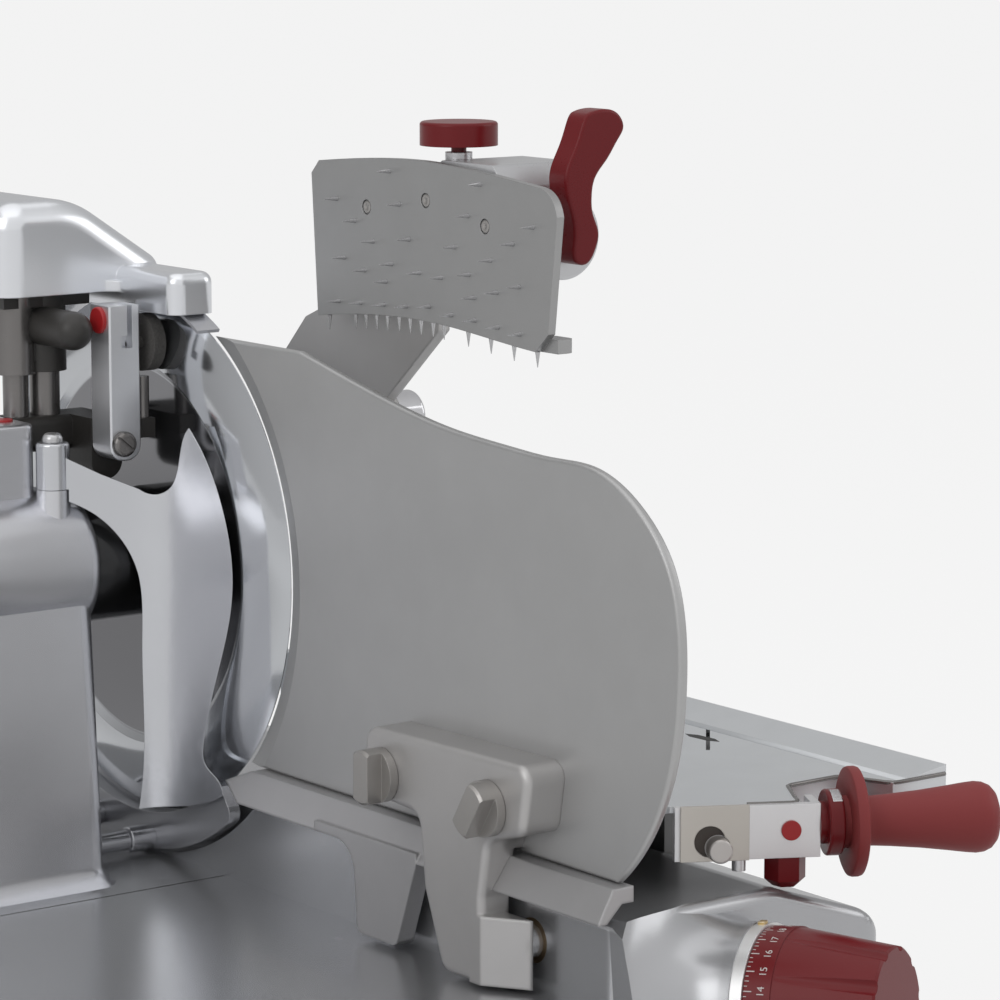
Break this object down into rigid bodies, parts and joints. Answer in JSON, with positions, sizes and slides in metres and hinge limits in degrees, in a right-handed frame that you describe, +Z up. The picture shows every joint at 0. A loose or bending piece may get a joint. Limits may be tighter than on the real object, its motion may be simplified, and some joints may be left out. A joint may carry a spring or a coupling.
{
  "type": "food slicer",
  "caption": "Food slicer with an upright round blade, sliding gauge plate on a dial, carriage with handle and spiked press, hinged slice deflector and lidded sharpener.",
  "frame": {"origin": "centre of the bounding box, on the surface the feet stand on", "axes": "+Z up, +X from the motor side to the food side, +Y from the front with the dial to the rear"},
  "size_m": [0.548, 0.8196, 0.593],
  "materials": {
    "cast_aluminium": "satin",
    "polished_aluminium": "polished",
    "anodised_aluminium": "satin anodised",
    "blade_steel": "mirror polished",
    "steel": "turned",
    "stainless": "brushed",
    "black_gloss": "gloss",
    "burgundy": "satin gloss",
    "marker_red": "gloss",
    "rubber": "matt",
    "dark_cast": "dark satin",
    "bronze": "turned",
    "motor_paint": "satin",
    "stone": "grit",
    "switch_black": "matt",
    "start_green": "gloss"
  },
  "bodies": {
    "frame": {"base_casting": "cast_aluminium", "bottom_plate": "stainless", "feet": "rubber", "fasteners": "steel", "head_casting": "cast_aluminium", "head_rear_cover": "cast_aluminium", "hub_collar": "black_gloss", "bearings": "steel", "drive_belt": "rubber", "motor": "motor_paint", "blade_guard": "polished_aluminium", "guard_stays": "polished_aluminium", "shaft_bushes": "bronze", "dial_ring": "polished_aluminium", "carriage_guides": "steel", "pedestal_marker": "marker_red", "sharpener_bracket": "dark_cast", "sharpener_pins": "steel", "deflector_pin": "steel", "switch_bezel": "switch_black", "cable_gland": "switch_black"},
    "knife": {"blade": "blade_steel", "blade_screws": "steel", "spindle": "steel"},
    "rotor": {"motor_rotor": "steel"},
    "gauge": {"gauge_plate": "anodised_aluminium", "gauge_arm": "anodised_aluminium", "gauge_rail": "anodised_aluminium", "gauge_slide": "steel"},
    "rear_clamp": {"clamp_knob_rear": "steel"},
    "front_clamp": {"clamp_knob_front": "steel"},
    "dial": {"dial_knob": "burgundy", "dial_shaft": "steel"},
    "carriage": {"carriage_tray": "anodised_aluminium", "carriage_frame": "cast_aluminium", "slide_block": "cast_aluminium", "slide_bushes": "bronze", "handle_bracket": "anodised_aluminium", "bracket_plate": "stainless", "bracket_marker": "marker_red", "handle_collar": "burgundy", "handle_grip": "burgundy", "press_rod": "steel"},
    "roller": {"carriage_roller": "steel"},
    "push_pin": {"bracket_pin": "steel"},
    "release": {"release_knob": "burgundy"},
    "press_slider": {"press_post": "steel"},
    "press": {"press_arm": "anodised_aluminium", "press_plate": "anodised_aluminium", "press_spikes": "steel", "press_housing": "cast_aluminium"},
    "press_lock": {"press_knob": "burgundy"},
    "press_handle": {"press_lever": "burgundy"},
    "slice_deflector": {"deflector": "polished_aluminium"},
    "sharpener_lid": {"sharpener_cover": "polished_aluminium"},
    "link": {"link_bar": "anodised_aluminium"},
    "link_push": {"link_button": "marker_red"},
    "stone": {"sharpening_stone": "stone"},
    "start": {"start_button": "start_green"},
    "stop": {"stop_button": "marker_red"}
  },
  "joints": [
    {"name": "blade_spin", "type": "hinge", "parent": "frame", "child": "knife", "pos_m": [0.026, 0.1928, 0.3], "axis": [1, 0, 0], "continuous": true},
    {"name": "motor_spin", "type": "hinge", "parent": "frame", "child": "rotor", "pos_m": [-0.172, 0.1988, 0.182], "axis": [1, 0, 0], "continuous": true},
    {"name": "gauge_travel", "type": "slide", "parent": "frame", "child": "gauge", "axis": [-1, 0, 0], "range_m": [0, 0.02]},
    {"name": "dial_turn", "type": "hinge", "parent": "frame", "child": "dial", "pos_m": [0.1018, -0.3222, 0.1055], "axis": [0.4521, -0.8873, 0.0906], "range_deg": [0, 290]},
    {"name": "rear_clamp_turn", "type": "hinge", "parent": "gauge", "child": "rear_clamp", "pos_m": [-0.0065, -0.1122, 0.214], "axis": [-1, 0, 0], "range_deg": [0, 360]},
    {"name": "front_clamp_turn", "type": "hinge", "parent": "gauge", "child": "front_clamp", "pos_m": [-0.0065, -0.2142, 0.214], "axis": [-1, 0, 0], "range_deg": [0, 360]},
    {"name": "carriage_travel", "type": "slide", "parent": "frame", "child": "carriage", "axis": [0, 1, 0], "range_m": [0, 0.28]},
    {"name": "roller_spin", "type": "hinge", "parent": "carriage", "child": "roller", "pos_m": [0.11, -0.1392, 0.1782], "axis": [1, 0, 0], "range_deg": [-1460, 0]},
    {"name": "pin_push", "type": "slide", "parent": "carriage", "child": "push_pin", "axis": [0.4772, 0.8788, 0], "range_m": [0, 0.006], "stiffness_N_per_m": 300},
    {"name": "release_turn", "type": "hinge", "parent": "carriage", "child": "release", "pos_m": [0.15415, -0.28063, 0.17], "axis": [0, 0, 1], "range_deg": [0, 90]},
    {"name": "press_travel", "type": "slide", "parent": "carriage", "child": "press_slider", "axis": [1, 0, 0], "range_m": [-0.015, 0.11]},
    {"name": "press_swing", "type": "hinge", "parent": "press_slider", "child": "press", "pos_m": [0.088, 0.0278, 0.397], "axis": [1, 0, 0], "range_deg": [0, 68]},
    {"name": "press_lock_turn", "type": "hinge", "parent": "press", "child": "press_lock", "pos_m": [0.088, -0.0592, 0.565], "axis": [0, 0, 1], "range_deg": [0, 360]},
    {"name": "press_handle_turn", "type": "hinge", "parent": "press", "child": "press_handle", "pos_m": [0.111, -0.1322, 0.519], "axis": [0, 1, 0], "range_deg": [0, 90]},
    {"name": "deflector_swing", "type": "hinge", "parent": "frame", "child": "slice_deflector", "pos_m": [-0.056, 0.1688, 0.36], "axis": [0, 0, 1], "range_deg": [-70, 0]},
    {"name": "lid_lift", "type": "hinge", "parent": "frame", "child": "sharpener_lid", "pos_m": [-0.034, 0.3088, 0.466], "axis": [1, 0, 0], "range_deg": [-75, 0]},
    {"name": "link_swing", "type": "hinge", "parent": "frame", "child": "link", "pos_m": [-0.015, 0.1643, 0.376], "axis": [0, 1, 0], "range_deg": [0, 2.5], "stiffness_Nm_per_rad": 2},
    {"name": "link_button_push", "type": "slide", "parent": "link", "child": "link_push", "axis": [1, 0, 0], "range_m": [0, 0.002], "stiffness_N_per_m": 300},
    {"name": "stone_spin", "type": "hinge", "parent": "link", "child": "stone", "pos_m": [0.006, 0.1643, 0.437], "axis": [1, 0, 0], "continuous": true},
    {"name": "start_push", "type": "slide", "parent": "frame", "child": "start", "axis": [0, 1, 0], "range_m": [0, 0.003], "stiffness_N_per_m": 500},
    {"name": "stop_push", "type": "slide", "parent": "frame", "child": "stop", "axis": [0, 1, 0], "range_m": [0, 0.003], "stiffness_N_per_m": 500}
  ],
  "couplings": [
    {"joint": "motor_spin", "follows": "blade_spin", "ratio": 1.6111},
    {"joint": "dial_turn", "follows": "gauge_travel", "rad_per_m": 253.07},
    {"joint": "roller_spin", "follows": "carriage_travel", "rad_per_m": -90.909}
  ]
}
